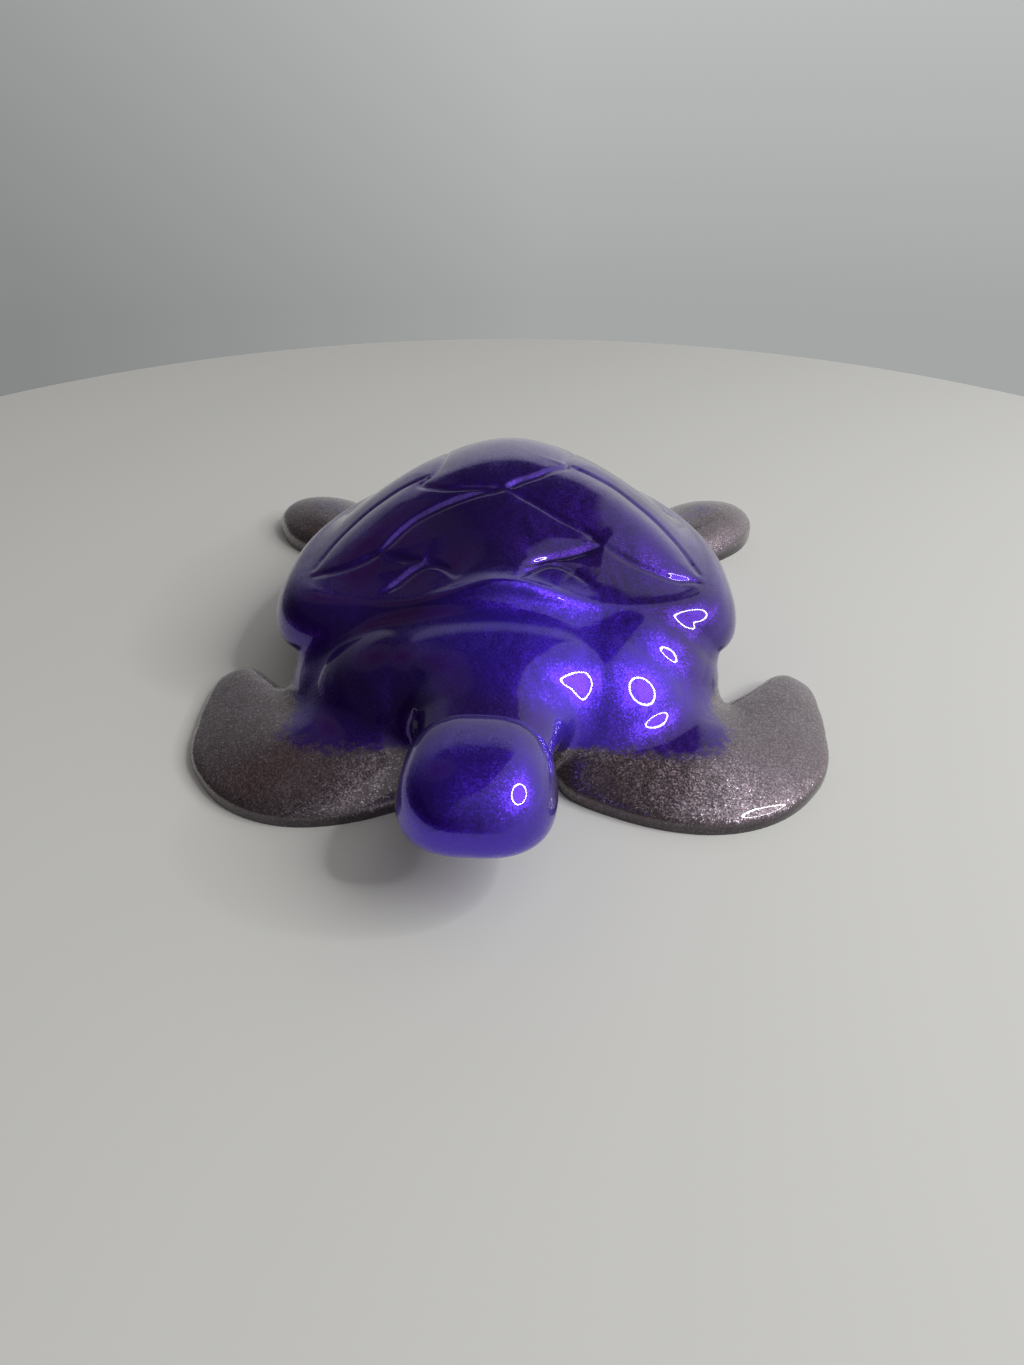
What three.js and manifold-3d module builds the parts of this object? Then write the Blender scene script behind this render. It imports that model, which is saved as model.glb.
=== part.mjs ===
// Sea turtle figurine cast in two pours of pearl resin, as an assembly of its body regions.
// Millimetres, +Z up, head towards -Y. The origin lies under the middle of the turtle, on the
// surface that it rests on. Left and right are the turtle's own, so its left side is at +X.
import * as THREE from "three";
import { mergeVertices } from "three/addons/utils/BufferGeometryUtils.js";
import Module from "manifold-3d";

const wasm = await Module();
wasm.setup();

// Levels from the ground up
const FILL_LEVEL = 6.8; // top of the mauve pour, where the violet pour begins
const SEAT_RISE = 1.4; // from the fill level to the flat where the carapace sits on the body
const RIM_RISE = 2.2; // from that seat to the height where the carapace is widest
const MARGIN_RISE = 7.6; // from there to the groove above the marginal scutes
const CROWN_RISE = 12.6; // from that groove to the crown
const CLEARANCE = 0.3; // gap where one region is cut by the next

// Carapace, seen from above
const SHELL_Y = 4; // where the rim is widest
const SHELL_HALF_WIDTH = 36.4;
const SHELL_FRONT = 21.5; // from there to the front of the rim
const SHELL_BACK = 49; // from there to the back of the rim
const SHELL_TAPER = 8; // how much each side draws in towards the back
const SHELL_FRONT_SQUARENESS = 4; // 2 is an ellipse
const CROWN_SET_BACK = 9.8; // how far the dome leans back from there to the crown
const CROWN_SPREAD = 0.07; // share by which the dome widens with its height
const MARGIN_WIDTH = 5.6; // band of marginal scutes
const RIM_TUCK = 2.6; // how far the rim draws in underneath

// Arch of the rim over the neck
const NECK_ARCH_RISE = 7;
const NECK_ARCH_HALF_WIDTH = 10.5;
const NECK_ARCH_DEPTH = 2.2;

// Torso, which is the body above the fill level and the belly below it
const TORSO_Y = 4;
const TORSO_HALF_WIDTH = 33.6;
const TORSO_FRONT = 33;
const TORSO_BACK = 39.5;
const TORSO_HEIGHT = 15; // of its whole form, which the carapace cuts
const TORSO_SQUARENESS = 2.8; // seen from the side
const TORSO_BACK_SQUARENESS = 2.6; // seen from above
const TORSO_FRONT_SQUARENESS = 4.5; // seen from above

// Shoulders, which swell on each side of the neck
const SHOULDER_SPACING = 28; // from the middle of one to the middle of the other
const SHOULDER_Y = -18;
const SHOULDER_WIDTH = 32;
const SHOULDER_LENGTH = 30;
const SHOULDER_HEIGHT = 16; // above the ground

// Head
const HEAD_REACH = 6.3; // from the front of the neck to the middle of the head
const HEAD_WIDTH = 19.8;
const HEAD_LENGTH = 19;
const HEAD_HEIGHT = 12;
const HEAD_MIDDLE_HEIGHT = 13.8;
const HEAD_SQUARENESS = 3;
const HEAD_TURN = 2; // degrees that the head and neck turn towards the turtle's right
const SNOUT_TAPER = 0.2; // share of the head's width and height lost at the snout
const BROW_TAPER = 0.28; // share of the head's width lost at its top
const BROW_FALL = 1.6; // how far the brow slopes down towards the snout

// Neck. Its stations run from the middle of the head to the root inside the body, and each has
// its share of the way between the front and the root, in place, width, top and foot.
const NECK_LENGTH = 12; // from the body to the head
const NECK_SINK = 1; // how far behind the shoulders' front the neck starts
const NECK_ROOT_DEPTH = 20; // from there back to the root
const NECK_WIDTH = 16;
const NECK_ROOT_WIDTH = 48;
const NECK_TOP_LEVEL = 13.8;
const NECK_ROOT_TOP_LEVEL = 18.2;
const NECK_FOOT_LEVEL = 7.2;
const NECK_ROOT_FOOT_LEVEL = -6;
const NECK = [
  { back: 0, width: 0, top: 0, foot: 0 },
  { back: 0.32, width: 0.05, top: 0.32, foot: 0.1 },
  { back: 0.45, width: 0.13, top: 0.48, foot: 0.36 },
  { back: 0.56, width: 0.31, top: 0.61, foot: 0.62 },
  { back: 0.65, width: 0.62, top: 0.73, foot: 0.85 },
  { back: 0.74, width: 0.84, top: 0.82, foot: 1 },
  { back: 1, width: 1, top: 1, foot: 1 },
];

// Flippers. Each blade runs through stations from its root to its tip, whose places, half width
// and height are shares of these sizes. The reach is sideways from the turtle's middle line and
// the swing is along Y, to the furthest station of the blade's middle line. The crest is where
// the blade's ridge runs: -1 is its leading edge, 0 its middle line and 1 its other edge. A
// fullness of 1 gives an elliptical section, and less gives a sharper ridge.
const EDGE_WALL = 1.6; // upright edge round the foot of each blade
const FRONT_FLIPPER_REACH = { left: 45.5, right: 43 };
const FRONT_FLIPPER_CREST = 0.3;
const FRONT_FLIPPER_FULLNESS = 0.75;
const FRONT_FLIPPER_SWING = -30;
const FRONT_FLIPPER_WIDTH = 24.8;
const FRONT_FLIPPER_HEIGHT = 9.5;
const FRONT_FLIPPER = [
  { x: 0.17, y: 0.8, half: 0.36, height: 1 },
  { x: 0.41, y: 0.93, half: 0.48, height: 0.84 },
  { x: 0.63, y: 1, half: 0.5, height: 0.73 },
  { x: 0.79, y: 0.87, half: 0.43, height: 0.55 },
  { x: 0.89, y: 0.63, half: 0.315, height: 0.46 },
  { x: 0.96, y: 0.4, half: 0.19, height: 0.38 },
  { x: 1, y: 0.2, half: 0.05, height: 0.21 },
];
const REAR_FLIPPER_REACH = 47.2;
const REAR_FLIPPER_SWING = 59;
const REAR_FLIPPER_WIDTH = 19.6;
const REAR_FLIPPER_HEIGHT = 6.6;
const REAR_FOOT_INSET = 1.2; // how far the rear paddles round in underneath
const REAR_FLIPPER = [
  { x: 0.42, y: 0.54, half: 0.36, height: 1 },
  { x: 0.59, y: 0.68, half: 0.43, height: 1 },
  { x: 0.75, y: 0.8, half: 0.5, height: 1 },
  { x: 0.86, y: 0.89, half: 0.48, height: 1 },
  { x: 0.945, y: 0.955, half: 0.36, height: 0.85 },
  { x: 1, y: 1, half: 0.12, height: 0.55 },
];

// Tail
const TAIL_WIDTH = 6;
const TAIL_HEIGHT = 4.2;
const TAIL_ROOT_DEPTH = 4; // how far the tail's form starts inside the torso
const TAIL_LENGTH = 13.5; // from the torso to the tip
const TAIL_TIP_WIDTH = 1.6;
const TAIL_FOOT_INSET = 0.8;

// Grooves between the scutes. Their routes are given over the dome, as shares of its half width
// and of its reach in front of its widest place (negative) or behind it. The cast is a little
// uneven, so the front scutes differ from side to side. The back ones are alike on both sides.
const GROOVE_RADIUS = 0.75;
const FRONT_GROOVES = {
  frontScuteLeft: [[0, -0.39], [0.15, -0.5], [0.26, -0.58], [0.38, -0.64], [0.47, -0.71]],
  frontScuteRight: [[0, -0.39], [-0.14, -0.43], [-0.35, -0.53], [-0.47, -0.6], [-0.6, -0.73]],
  frontFootLeft: [[0.47, -0.71], [0.32, -0.79], [0.2, -0.84], [0.11, -0.9]],
  frontFootRight: [[-0.6, -0.73], [-0.51, -0.79], [-0.42, -0.82]],
  topScuteLeft: [[0, -0.39], [0.06, -0.33], [0.18, -0.23], [0.29, 0], [0.3, 0.09], [0.39, 0.39]],
  topScuteRight: [[0, -0.39], [-0.32, -0.35], [-0.43, -0.19], [-0.36, 0.07], [-0.39, 0.39]],
  sideLeft: [[0.29, 0.03], [0.43, 0.03], [0.58, 0.02], [0.75, -0.05], [0.89, -0.25], [0.96, -0.5]],
  sideRight: [[-0.39, -0.04], [-0.62, 0], [-0.75, -0.06], [-0.89, -0.25], [-0.96, -0.5]],
  sideFootLeft: [[0.47, -0.71], [0.6, -0.76], [0.69, -0.77], [0.82, -0.75], [0.94, -0.65]],
  sideFootRight: [[-0.6, -0.73], [-0.7, -0.74], [-0.81, -0.72], [-0.94, -0.63]],
  archLeft: [[0.06, -1], [0.13, -0.92], [0.22, -0.86], [0.31, -0.87], [0.42, -0.94]],
  archRight: [[-0.57, -0.97], [-0.5, -0.92], [-0.39, -0.85], [-0.3, -0.87], [-0.23, -0.94]],
};
const BACK_GROOVES = {
  topBack: [[0, 0.47], [0.19, 0.45], [0.39, 0.39]],
  side: [[0.39, 0.39], [0.62, 0.38], [0.81, 0.36], [0.92, 0.32]],
  thirdScute: [[0.39, 0.39], [0.32, 0.55], [0.28, 0.71]],
  thirdBack: [[0, 0.77], [0.13, 0.76], [0.28, 0.71]],
  tailSide: [[0.28, 0.71], [0.45, 0.76], [0.58, 0.77]],
};

// Steps round and along the curved forms
const SHELL_STEPS = 52;
const SHELL_RINGS = 36;
const TORSO_STEPS = 48;
const SHOULDER_STEPS = 32;
const HEAD_STEPS = 32;
const LOFT_STEPS = 18;
const SECTION_STEPS = 14;
const NECK_STEPS = 28;
const GROOVE_SIDES = 5;

const FAR = 500; // further than any region reaches
const VIOLET_RESIN = { color: 0x2a1a86, roughness: 0.12, metalness: 0.3 };
const MAUVE_RESIN = { color: 0x6d5f6e, roughness: 0.16, metalness: 0.3 };

const seatLevel = FILL_LEVEL + SEAT_RISE;
const rimLevel = seatLevel + RIM_RISE;
const marginLevel = rimLevel + MARGIN_RISE;
const neckBackY = SHOULDER_Y - SHOULDER_LENGTH / 2 + NECK_SINK;
const neckFrontY = neckBackY - NECK_LENGTH;
const headY = neckFrontY - HEAD_REACH;

// Signed power: keeps the sign of the base, as superellipse formulas need. A base that is zero
// but for rounding gives zero, so that the two ends of a closed form still meet.
function signedPower(base, exponent) {
  const rounding = 1e-6;
  return Math.abs(base) < rounding ? 0 : Math.sign(base) * Math.abs(base) ** exponent;
}

// The same surface with only its positions, where vertices that lie together are one
function welded(geometry) {
  const bare = geometry.clone();
  bare.deleteAttribute("normal");
  bare.deleteAttribute("uv");
  return mergeVertices(bare, 1e-4);
}

// A closed geometry as a solid
function toSolid(geometry) {
  const merged = welded(geometry);
  const mesh = new wasm.Mesh({
    numProp: 3,
    vertProperties: merged.attributes.position.array,
    triVerts: new Uint32Array(merged.index.array),
  });
  return new wasm.Manifold(mesh);
}

// A solid as a named mesh of the given resin
function toMesh(name, solid, resin) {
  const { vertProperties, triVerts } = solid.getMesh();
  const geometry = new THREE.BufferGeometry();
  geometry.setAttribute("position", new THREE.BufferAttribute(vertProperties, 3));
  geometry.setIndex(new THREE.BufferAttribute(triVerts, 1));
  geometry.computeVertexNormals();
  const mesh = new THREE.Mesh(geometry, new THREE.MeshStandardMaterial(resin));
  mesh.name = name;
  return mesh;
}

// All the space between two levels along one axis
function slab(axis, low, high) {
  const corner = { x: -FAR, y: -FAR, z: -FAR, [axis]: low };
  const opposite = { x: FAR, y: FAR, z: FAR, [axis]: high };
  const size = new THREE.Vector3().copy(opposite).sub(corner);
  const centre = new THREE.Vector3().copy(opposite).add(corner).divideScalar(2);
  const box = new THREE.BoxGeometry(size.x, size.y, size.z);
  return toSolid(box.translate(centre.x, centre.y, centre.z));
}

// A sphere with its poles on the Z axis, whose points are moved by the given function. It is
// given each point's bearing round Z and its share of the way down from the top pole.
function shapedSphere(around, down, place) {
  const geometry = welded(new THREE.SphereGeometry(1, around, down).rotateX(Math.PI / 2));
  const position = geometry.attributes.position;
  const point = new THREE.Vector3();
  for (let i = 0; i < position.count; i += 1) {
    point.fromBufferAttribute(position, i);
    const polar = Math.acos(THREE.MathUtils.clamp(point.z, -1, 1));
    place(point, Math.atan2(point.y, point.x), polar / Math.PI);
    position.setXYZ(i, point.x, point.y, point.z);
  }
  return geometry;
}

// A closed loft through rings of points, each ring listed the same way round
function loft(rings) {
  const count = rings[0].length;
  const last = (rings.length - 1) * count;
  const indices = [];
  for (let i = 0; i < last; i += count) {
    for (let j = 0; j < count; j += 1) {
      const next = (j + 1) % count;
      indices.push(i + j, i + next, i + count + next);
      indices.push(i + j, i + count + next, i + count + j);
    }
  }
  for (let j = 1; j + 1 < count; j += 1) {
    indices.push(0, j + 1, j);
    indices.push(last, last + j, last + j + 1);
  }
  const positions = rings.flat().flatMap((point) => point.toArray());
  const geometry = new THREE.BufferGeometry();
  geometry.setAttribute("position", new THREE.Float32BufferAttribute(positions, 3));
  geometry.setIndex(indices);
  if (toSolid(geometry).volume() < 0) {
    geometry.setIndex(indices.reverse());
  }
  return toSolid(geometry);
}

// How much narrower the carapace is at a distance behind its widest place
function taper(behind) {
  const drawnIn = SHELL_TAPER / SHELL_HALF_WIDTH;
  return 1 - drawnIn * (Math.max(0, behind) / SHELL_BACK) ** 2;
}

// A point of a superellipse outline. The bearing is 0 at the left side and a quarter turn at the
// tail, and the front and back have their own reach and squareness.
function outlinePoint(bearing, halfWidth, front, back) {
  const { reach, squareness } = Math.sin(bearing) < 0 ? front : back;
  const across = Math.abs(Math.cos(bearing)) / halfWidth;
  const along = Math.abs(Math.sin(bearing)) / reach;
  const radius = (across ** squareness + along ** squareness) ** (-1 / squareness);
  return { x: radius * Math.cos(bearing), y: radius * Math.sin(bearing) };
}

// Plan outline of the carapace from where it is widest, drawn in by an inset
function rimPoint(bearing, inset) {
  const front = { reach: SHELL_FRONT - inset, squareness: SHELL_FRONT_SQUARENESS };
  const back = { reach: SHELL_BACK - inset, squareness: 2 };
  const { x, y } = outlinePoint(bearing, SHELL_HALF_WIDTH - inset, front, back);
  return { x: x * taper(y), y };
}

// How strongly the arch over the neck acts at an edge point in front of the widest place
function neckArch(edgeX, behind) {
  return behind < 0 ? Math.exp(-((edgeX / NECK_ARCH_HALF_WIDTH) ** 2)) : 0;
}

// How much of the neck arch's rise the dome has at a share of the way to its edge
function domeLift(share) {
  return share ** 4 / 2;
}

// Share of the crown's rise that the dome has at a share of the way to its edge
function domeRise(share) {
  return Math.cos((share * Math.PI) / 2);
}

// A point of the dome from its place over the rim's plan, leant back with its height
function leant(x, behind, rise, arch) {
  const spread = 1 + CROWN_SPREAD * rise;
  return new THREE.Vector3(
    x * spread,
    SHELL_Y + behind * spread + CROWN_SET_BACK * rise,
    marginLevel + CROWN_RISE * rise + NECK_ARCH_RISE * arch,
  );
}

// A point on the dome, from shares of its half width and of its reach along Y
function domePoint([across, along]) {
  const squareness = along < 0 ? SHELL_FRONT_SQUARENESS : 2;
  const sum = Math.abs(across) ** squareness + Math.abs(along) ** squareness;
  const share = Math.min(1, sum ** (1 / squareness));
  const behind = along * ((along < 0 ? SHELL_FRONT : SHELL_BACK) - MARGIN_WIDTH);
  const x = across * (SHELL_HALF_WIDTH - MARGIN_WIDTH) * taper(behind / share);
  return leant(x, behind, domeRise(share), neckArch(x / share, behind) * domeLift(share));
}

// The carapace's form, grown outwards by a margin. Going down from the crown it has the dome,
// the marginal band, the tucked underside of the rim and the flat seat.
function shellForm(growth) {
  const domeEnd = 0.55;
  const bandEnd = 0.75;
  const tuckEnd = 0.9;
  const geometry = shapedSphere(SHELL_STEPS, SHELL_RINGS, (point, bearing, down) => {
    if (down <= domeEnd) {
      const share = down / domeEnd;
      const edge = rimPoint(bearing, MARGIN_WIDTH - growth);
      const arch = neckArch(edge.x, edge.y) * domeLift(share);
      point.copy(leant(edge.x * share, edge.y * share, domeRise(share), arch));
      point.z += growth;
      return;
    }
    let share = 1;
    let inset = RIM_TUCK;
    let height = seatLevel;
    let lift = 0;
    if (down <= bandEnd) {
      const turn = (((down - domeEnd) / (bandEnd - domeEnd)) * Math.PI) / 2;
      inset = MARGIN_WIDTH * (1 - Math.sin(turn));
      height = rimLevel + MARGIN_RISE * Math.cos(turn);
      lift = domeLift(1) + (1 - domeLift(1)) * Math.sin(turn);
    } else if (down <= tuckEnd) {
      const turn = (((down - bandEnd) / (tuckEnd - bandEnd)) * Math.PI) / 2;
      inset = RIM_TUCK * (1 - Math.cos(turn));
      height = seatLevel + RIM_RISE * (1 - Math.sin(turn));
      lift = 1 - Math.sin(turn);
    } else {
      share = (1 - down) / (1 - tuckEnd);
    }
    const edge = rimPoint(bearing, inset - growth);
    const arch = neckArch(edge.x, edge.y) * lift;
    const drawBack = NECK_ARCH_DEPTH * arch * Math.max(0, 2 * lift - 1);
    point.x = edge.x * share;
    point.y = SHELL_Y + edge.y * share + drawBack;
    point.z = height + NECK_ARCH_RISE * arch + growth * Math.sign(bandEnd - down);
  });
  return toSolid(geometry);
}

// A thin tube along the dome's surface
function groove(points) {
  const section = new THREE.Shape();
  section.absarc(0, 0, GROOVE_RADIUS, 0, 2 * Math.PI);
  const geometry = new THREE.ExtrudeGeometry(section, {
    steps: 2 * (points.length - 1),
    curveSegments: GROOVE_SIDES,
    extrudePath: new THREE.CatmullRomCurve3(points.map(domePoint)),
  });
  return toSolid(geometry);
}

// The domed top shell with the grooves between its scutes
function carapace() {
  let solid = shellForm(0);
  for (const points of Object.values(FRONT_GROOVES)) {
    solid = solid.subtract(groove(points));
  }
  for (const points of Object.values(BACK_GROOVES)) {
    const mirrored = points.map(([across, along]) => [-across, along]);
    solid = solid.subtract(groove(points)).subtract(groove(mirrored));
  }
  return solid;
}

// The torso's form above the ground, grown outwards by a margin
function torsoForm(growth) {
  const front = { reach: TORSO_FRONT + growth, squareness: TORSO_FRONT_SQUARENESS };
  const back = { reach: TORSO_BACK + growth, squareness: TORSO_BACK_SQUARENESS };
  const power = 2 / TORSO_SQUARENESS;
  const geometry = shapedSphere(TORSO_STEPS, TORSO_STEPS / 2, (point, bearing, down) => {
    const edge = outlinePoint(bearing, TORSO_HALF_WIDTH + growth, front, back);
    const share = signedPower(Math.sin(down * Math.PI), power);
    point.x = edge.x * share;
    point.y = TORSO_Y + edge.y * share;
    point.z = (TORSO_HEIGHT + growth) * signedPower(Math.cos(down * Math.PI), power);
  });
  return toSolid(geometry).intersect(slab("z", 0, FAR));
}

// One shoulder's form. The side is 1 for the turtle's left and -1 for its right.
function shoulderForm(side) {
  const geometry = new THREE.SphereGeometry(1, SHOULDER_STEPS, SHOULDER_STEPS / 2);
  geometry.scale(SHOULDER_WIDTH / 2, SHOULDER_LENGTH / 2, SHOULDER_HEIGHT);
  return toSolid(geometry.translate((side * SHOULDER_SPACING) / 2, SHOULDER_Y, 0));
}

// The neck's form from inside the body to inside the head, grown outwards by a margin
function neckForm(growth) {
  const between = THREE.MathUtils.lerp;
  const rings = NECK.map((share) => {
    const y = between(headY, neckBackY + NECK_ROOT_DEPTH, share.back);
    const width = between(NECK_WIDTH, NECK_ROOT_WIDTH, share.width);
    const top = between(NECK_TOP_LEVEL, NECK_ROOT_TOP_LEVEL, share.top);
    const foot = between(NECK_FOOT_LEVEL, NECK_ROOT_FOOT_LEVEL, share.foot);
    const ring = [];
    for (let j = 0; j < NECK_STEPS; j += 1) {
      const turn = (j / NECK_STEPS) * 2 * Math.PI;
      const x = (width / 2 + growth) * Math.cos(turn);
      const rise = ((top - foot) / 2 + growth) * Math.sin(turn);
      ring.push(new THREE.Vector3(x, y, (top + foot) / 2 + rise));
    }
    return ring;
  });
  return loft(rings).rotate([0, 0, -HEAD_TURN]);
}

// The head's form: a rounded block that narrows towards its brow and a blunt snout
function headForm() {
  const power = 2 / HEAD_SQUARENESS;
  const geometry = shapedSphere(HEAD_STEPS, HEAD_STEPS / 2, (point, bearing, down) => {
    const ring = signedPower(Math.sin(down * Math.PI), power);
    const x = ring * signedPower(Math.cos(bearing), power);
    const y = ring * signedPower(Math.sin(bearing), power);
    const z = signedPower(Math.cos(down * Math.PI), power);
    const forward = Math.max(0, -y) ** 2;
    const high = (1 + z) / 2;
    const narrow = 1 - SNOUT_TAPER * forward;
    point.x = (HEAD_WIDTH / 2) * x * narrow * (1 - BROW_TAPER * high ** 2);
    point.y = headY + (HEAD_LENGTH / 2) * y;
    point.z = HEAD_MIDDLE_HEIGHT + (HEAD_HEIGHT / 2) * z * narrow - BROW_FALL * forward * high;
  });
  return toSolid(geometry).rotate([0, 0, -HEAD_TURN]);
}

// The stations of a blade on one side, from their shares of its sizes
function stationsOf(shares, side, reach, swing, width, height) {
  return shares.map((share) => ({
    x: side * reach * share.x,
    y: swing * share.y,
    half: width * share.half,
    height: height * share.height,
  }));
}

// A front flipper's form on one side
function frontFlipper(side) {
  const stations = stationsOf(
    FRONT_FLIPPER,
    side,
    side > 0 ? FRONT_FLIPPER_REACH.left : FRONT_FLIPPER_REACH.right,
    FRONT_FLIPPER_SWING,
    FRONT_FLIPPER_WIDTH,
    FRONT_FLIPPER_HEIGHT,
  );
  return blade(stations, 0, side * FRONT_FLIPPER_CREST, FRONT_FLIPPER_FULLNESS);
}

// A rear flipper's form on one side
function rearFlipper(side) {
  const stations = stationsOf(
    REAR_FLIPPER,
    side,
    REAR_FLIPPER_REACH,
    REAR_FLIPPER_SWING,
    REAR_FLIPPER_WIDTH,
    REAR_FLIPPER_HEIGHT,
  );
  return blade(stations, REAR_FOOT_INSET, 0, 1);
}

// A flat-footed blade through stations seen from above, domed above an upright edge
function blade(stations, footInset, crest, fullness) {
  const places = stations.map((s) => new THREE.Vector3(s.x, s.y, 0));
  const sizes = stations.map((s) => new THREE.Vector3(s.half, s.height, 0));
  const route = new THREE.CatmullRomCurve3(places);
  const size = new THREE.CatmullRomCurve3(sizes);
  const rings = [];
  for (let i = 0; i <= LOFT_STEPS; i += 1) {
    const centre = route.getPoint(i / LOFT_STEPS);
    const tangent = route.getTangent(i / LOFT_STEPS);
    const across = new THREE.Vector3(-tangent.y, tangent.x, 0);
    const { x: half, y: height } = size.getPoint(i / LOFT_STEPS);
    const wall = Math.min(EDGE_WALL, height / 2);
    const foot = half - Math.min(footInset, half / 3);
    const ring = [];
    for (let j = 0; j < SECTION_STEPS; j += 1) {
      const share = Math.cos((j / (SECTION_STEPS - 1)) * Math.PI);
      const offCrest = share - crest * (1 - share ** 2);
      const rise = Math.max(0, 1 - offCrest ** 2) ** (0.5 / fullness);
      const point = centre.clone().addScaledVector(across, half * share);
      point.z = wall + (height - wall) * rise;
      ring.push(point);
    }
    ring.push(centre.clone().addScaledVector(across, -foot));
    ring.push(centre.clone().addScaledVector(across, foot));
    rings.push(ring);
  }
  return loft(rings);
}

// The tail's form, from inside the torso to the tip
function tailForm() {
  const back = TORSO_Y + TORSO_BACK;
  const stations = [
    { x: 0, y: back - TAIL_ROOT_DEPTH, half: TAIL_WIDTH / 2, height: TAIL_HEIGHT },
    { x: 0, y: back + TAIL_LENGTH / 3, half: TAIL_WIDTH / 2, height: TAIL_HEIGHT },
    { x: 0, y: back + TAIL_LENGTH, half: TAIL_TIP_WIDTH / 2, height: TAIL_HEIGHT / 2 },
  ];
  return blade(stations, TAIL_FOOT_INSET, 0, 1);
}

// Space above and below the fill level, and the cuts that leave the clearance
const above = slab("z", FILL_LEVEL + CLEARANCE, FAR);
const below = slab("z", 0, FILL_LEVEL);
const behindNeck = slab("y", neckBackY, FAR);
const neckCut = neckForm(CLEARANCE).subtract(behindNeck);
const torsoCut = torsoForm(CLEARANCE);

// Regions of the violet pour. The body takes in the roots of the front flippers.
const neckWhole = neckForm(0).intersect(above);
const chest = torsoForm(0)
  .add(shoulderForm(1))
  .add(shoulderForm(-1))
  .add(frontFlipper(1))
  .add(frontFlipper(-1))
  .intersect(above)
  .subtract(neckCut);
const body = chest.add(neckWhole.intersect(behindNeck)).subtract(shellForm(CLEARANCE));
const neck = neckWhole.intersect(slab("y", neckFrontY, neckBackY - CLEARANCE));
const head = headForm()
  .add(neckWhole)
  .intersect(slab("y", -FAR, neckFrontY - CLEARANCE));

const turtle = new THREE.Group();
turtle.add(toMesh("carapace", carapace(), VIOLET_RESIN));
turtle.add(toMesh("body", body, VIOLET_RESIN));
turtle.add(toMesh("neck", neck, VIOLET_RESIN));
turtle.add(toMesh("head", head, VIOLET_RESIN));

// Regions of the mauve pour
turtle.add(toMesh("belly", torsoForm(0).intersect(below), MAUVE_RESIN));
for (const [name, side] of Object.entries({ left: 1, right: -1 })) {
  const front = frontFlipper(side).intersect(below).subtract(torsoCut);
  const rear = rearFlipper(side).intersect(below).subtract(torsoCut);
  turtle.add(toMesh(`front_${name}_flipper`, front, MAUVE_RESIN));
  turtle.add(toMesh(`rear_${name}_flipper`, rear, MAUVE_RESIN));
}
const tail = tailForm().intersect(below).subtract(torsoCut);
turtle.add(toMesh("tail", tail, MAUVE_RESIN));

// The origin goes under the middle of the turtle
const middle = new THREE.Box3().setFromObject(turtle).getCenter(new THREE.Vector3());
turtle.position.set(-middle.x, -middle.y, 0);
const group = new THREE.Group();
group.add(turtle);

export default group;
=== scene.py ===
"""Looks of a sea turtle figurine cast in two pours of pearl resin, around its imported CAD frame.

One smooth casting is made from simple forms, its scutes are pressed in, and each piece of the
turtle is cut from it, so that the pieces meet without a step. Lengths in the functions are in
millimetres, and metres in the meshes.
"""

import math
from functools import lru_cache, partial

import bmesh
import bpy
import numpy as np
from mathutils import Matrix, Vector
from mathutils.bvhtree import BVHTree
from mathutils.kdtree import KDTree


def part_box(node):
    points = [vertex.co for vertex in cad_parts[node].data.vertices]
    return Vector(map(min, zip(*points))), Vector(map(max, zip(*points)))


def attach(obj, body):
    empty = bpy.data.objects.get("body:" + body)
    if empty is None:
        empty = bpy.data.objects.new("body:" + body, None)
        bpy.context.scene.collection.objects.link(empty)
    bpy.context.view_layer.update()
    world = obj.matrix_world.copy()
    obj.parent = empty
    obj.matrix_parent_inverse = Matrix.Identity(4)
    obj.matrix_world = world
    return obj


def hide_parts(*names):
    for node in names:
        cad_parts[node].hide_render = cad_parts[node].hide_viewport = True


bl_info = {
    "name": "Pearl resin sea turtle",
    "version": (1, 0, 0),
    "blender": (4, 5, 0),
    "location": "3D View > Sidebar > Turtle",
    "description": "Casts a glossy two-colour sea turtle and sets it on a pale table",
    "category": "Object",
}

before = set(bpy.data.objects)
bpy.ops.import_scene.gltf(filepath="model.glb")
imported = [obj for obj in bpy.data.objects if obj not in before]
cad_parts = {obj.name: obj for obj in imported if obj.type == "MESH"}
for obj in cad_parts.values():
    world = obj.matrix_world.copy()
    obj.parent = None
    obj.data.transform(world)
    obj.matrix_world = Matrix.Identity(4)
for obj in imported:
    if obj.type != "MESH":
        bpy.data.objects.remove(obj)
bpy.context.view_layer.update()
MM = 0.001

# Further out than any piece reaches
FAR = 300.0


def node_box(name):
    """Lowest and highest corner of a CAD node, in millimetres."""
    low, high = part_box(name)
    return np.array(low) / MM, np.array(high) / MM


# Boxes of the CAD nodes, and where the crown, the torso and the fill level lie in them
SHELL_LOW, SHELL_HIGH = node_box("carapace")
BELLY_LOW, BELLY_HIGH = node_box("belly")
NECK_LOW, NECK_HIGH = node_box("neck")
HEAD_LOW = node_box("head")[0]
SHELL_HALF_WIDTH = (SHELL_HIGH[0] - SHELL_LOW[0]) / 2
TORSO_HALF_WIDTH = (BELLY_HIGH[0] - BELLY_LOW[0]) / 2
TORSO_BACK = 39.5
TORSO_Y = BELLY_HIGH[1] - TORSO_BACK
TORSO_FRONT = 33.0
FILL_LEVEL = BELLY_HIGH[2]
SHELL_BACK = 49.0
CROWN_Y = SHELL_HIGH[1] - SHELL_BACK

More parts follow.
